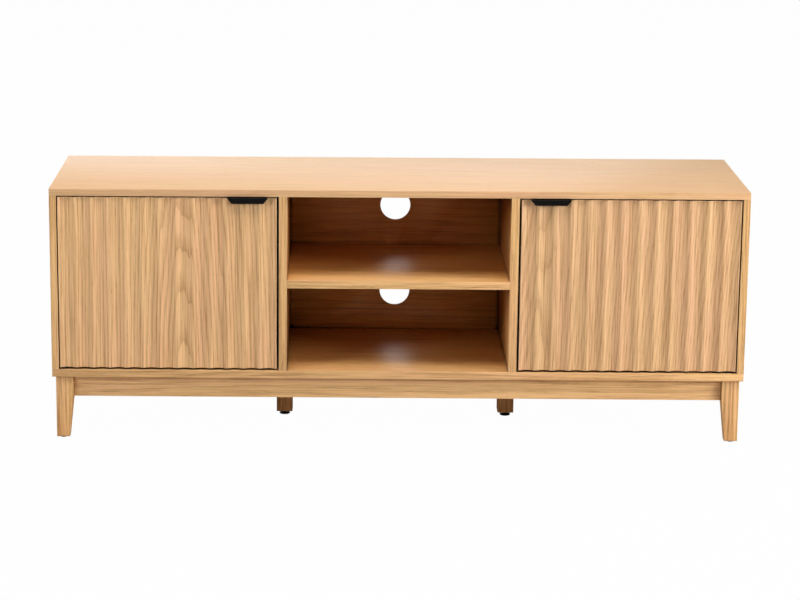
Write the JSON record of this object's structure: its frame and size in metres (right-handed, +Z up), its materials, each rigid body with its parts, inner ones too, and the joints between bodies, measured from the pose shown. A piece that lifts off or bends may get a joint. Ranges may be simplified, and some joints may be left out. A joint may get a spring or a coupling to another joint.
{
  "type": "media cabinet",
  "caption": "Low media cabinet on a leg frame: an open niche with a shelf and cable holes between cupboards with fluted doors and black edge-pull handles.",
  "frame": {"origin": "on the floor, at the centre of the overall width and depth", "axes": "+X to the right seen from the front, +Y to the back, +Z up"},
  "size_m": [1.6, 0.4074, 0.593],
  "materials": {
    "oak_top": "satin",
    "oak_laminate": "satin",
    "oak_fluted": "satin",
    "oak_back": "satin",
    "oak_base": "satin",
    "dowel_beech": "matte",
    "handle_metal": "satin black",
    "peg_steel": "zinc plated",
    "glide_plastic": "matte black",
    "catch_plastic": "matte white"
  },
  "bodies": {
    "cabinet": {"top_panel": "oak_top", "bottom_panel": "oak_laminate", "left_side_panel": "oak_laminate", "right_side_panel": "oak_laminate", "left_divider": "oak_laminate", "right_divider": "oak_laminate", "centre_shelf": "oak_laminate", "left_cupboard_shelf": "oak_laminate", "right_cupboard_shelf": "oak_laminate", "left_back_panel": "oak_back", "centre_back_panel": "oak_back", "right_back_panel": "oak_back", "front_rail": "oak_base", "rear_rail": "oak_base", "left_rail": "oak_base", "right_rail": "oak_base", "front_left_leg": "oak_base", "front_right_leg": "oak_base", "rear_left_leg": "oak_base", "rear_right_leg": "oak_base", "left_middle_leg": "oak_base", "right_middle_leg": "oak_base", "front_left_glide": "glide_plastic", "front_right_glide": "glide_plastic", "rear_left_glide": "glide_plastic", "rear_right_glide": "glide_plastic", "left_top_bush": "glide_plastic", "left_bottom_bush": "glide_plastic", "right_top_bush": "glide_plastic", "right_bottom_bush": "glide_plastic", "left_shelf_peg_outer_front": "peg_steel", "left_shelf_peg_outer_rear": "peg_steel", "left_shelf_peg_inner_front": "peg_steel", "left_shelf_peg_inner_rear": "peg_steel", "right_shelf_peg_outer_front": "peg_steel", "right_shelf_peg_outer_rear": "peg_steel", "right_shelf_peg_inner_front": "peg_steel", "right_shelf_peg_inner_rear": "peg_steel", "left_shelf_dowel_1": "dowel_beech", "left_shelf_dowel_2": "dowel_beech", "right_shelf_dowel_1": "dowel_beech", "right_shelf_dowel_2": "dowel_beech", "left_magnetic_catch": "catch_plastic", "right_magnetic_catch": "catch_plastic"},
    "left_door": {"left_door": "oak_fluted", "left_door_handle": "handle_metal", "left_door_top_pin": "handle_metal", "left_door_bottom_pin": "handle_metal", "left_strike_plate": "peg_steel"},
    "left_foot": {"left_levelling_foot": "glide_plastic"},
    "right_door": {"right_door": "oak_fluted", "right_door_handle": "handle_metal", "right_door_top_pin": "handle_metal", "right_door_bottom_pin": "handle_metal", "right_strike_plate": "peg_steel"},
    "right_foot": {"right_levelling_foot": "glide_plastic"}
  },
  "joints": [
    {"name": "left_door_hinge", "type": "hinge", "parent": "cabinet", "child": "left_door", "pos_m": [-0.76638, -0.18525, 0.3715], "axis": [0, 0, -1], "range_deg": [0, 100]},
    {"name": "right_door_hinge", "type": "hinge", "parent": "cabinet", "child": "right_door", "pos_m": [0.76638, -0.18525, 0.3715], "axis": [0, 0, 1], "range_deg": [0, 100]},
    {"name": "left_foot_screw", "type": "slide", "parent": "cabinet", "child": "left_foot", "axis": [0, 0, 1], "range_m": [-0.006, 0.004]},
    {"name": "right_foot_screw", "type": "slide", "parent": "cabinet", "child": "right_foot", "axis": [0, 0, 1], "range_m": [-0.006, 0.004]}
  ]
}
